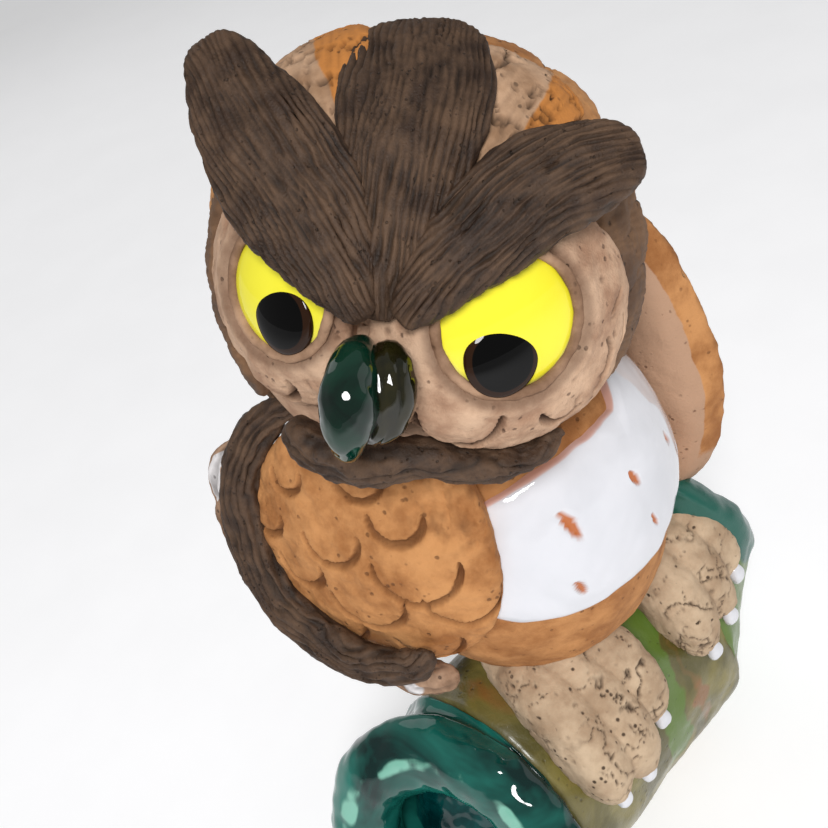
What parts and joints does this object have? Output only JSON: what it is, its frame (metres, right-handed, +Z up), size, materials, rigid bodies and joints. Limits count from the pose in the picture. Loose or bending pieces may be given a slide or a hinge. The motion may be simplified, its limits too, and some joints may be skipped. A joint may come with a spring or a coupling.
{
  "type": "owl figurine",
  "caption": "Hand-built glazed ceramic owl perched on a hollow log, head turned to its right, with free-standing ear tufts; stands on the log's flat underside.",
  "frame": {"origin": "centre of the flat underside of the log, on the surface it stands on", "axes": "+Z up; the breast faces -Y; the log runs along X, with its bent mouth towards -X, the owl's right"},
  "size_m": [0.0733, 0.057, 0.1269],
  "materials": {
    "olive_clay": "matt olive and brown slip",
    "teal_glaze": "glossy mottled teal glaze",
    "teal_deep_glaze": "glossy dark teal glaze",
    "orange_clay": "unglazed orange clay",
    "white_enamel": "glossy white enamel",
    "dark_slip": "combed dark brown slip",
    "brown_slip": "matt brown slip",
    "pink_clay": "unglazed pinkish tan clay",
    "cream_clay": "unglazed cream clay",
    "tan_clay": "unglazed tan clay with whitish glaze patches",
    "yellow_enamel": "glossy yellow enamel",
    "black_enamel": "glossy black enamel",
    "green_glaze": "glossy bottle green glaze",
    "olive_glaze": "glossy olive brown glaze"
  },
  "bodies": {
    "root": {"perch_log": "olive_clay", "log_end_right": "teal_glaze", "log_core_right": "teal_deep_glaze", "log_end_left": "teal_glaze", "log_core_left": "teal_deep_glaze", "body_shell": "orange_clay", "breast_bib": "white_enamel", "chin_ruff": "dark_slip", "back_feathers": "brown_slip", "tail_feathers": "brown_slip", "wing_right": "orange_clay", "wing_right_quills": "dark_slip", "wing_right_tips": "tan_clay", "wing_left": "orange_clay", "wing_left_quills": "dark_slip", "wing_left_tips": "tan_clay", "head_shell": "pink_clay", "face_right": "pink_clay", "face_left": "pink_clay", "brow_right": "dark_slip", "brow_left": "dark_slip", "crest": "dark_slip", "crown_patches": "pink_clay", "crown_petals": "orange_clay", "nape_petals": "brown_slip", "cheek_scales_right": "brown_slip", "cheek_scales_left": "brown_slip", "eye_right": "yellow_enamel", "eye_left": "yellow_enamel", "eye_rim_right": "brown_slip", "eye_rim_left": "brown_slip", "pupil_right": "black_enamel", "pupil_left": "black_enamel", "beak": "green_glaze", "beak_lobe": "olive_glaze", "foot_right": "cream_clay", "foot_left": "cream_clay", "claws_right": "white_enamel", "claws_left": "white_enamel"}
  },
  "joints": []
}
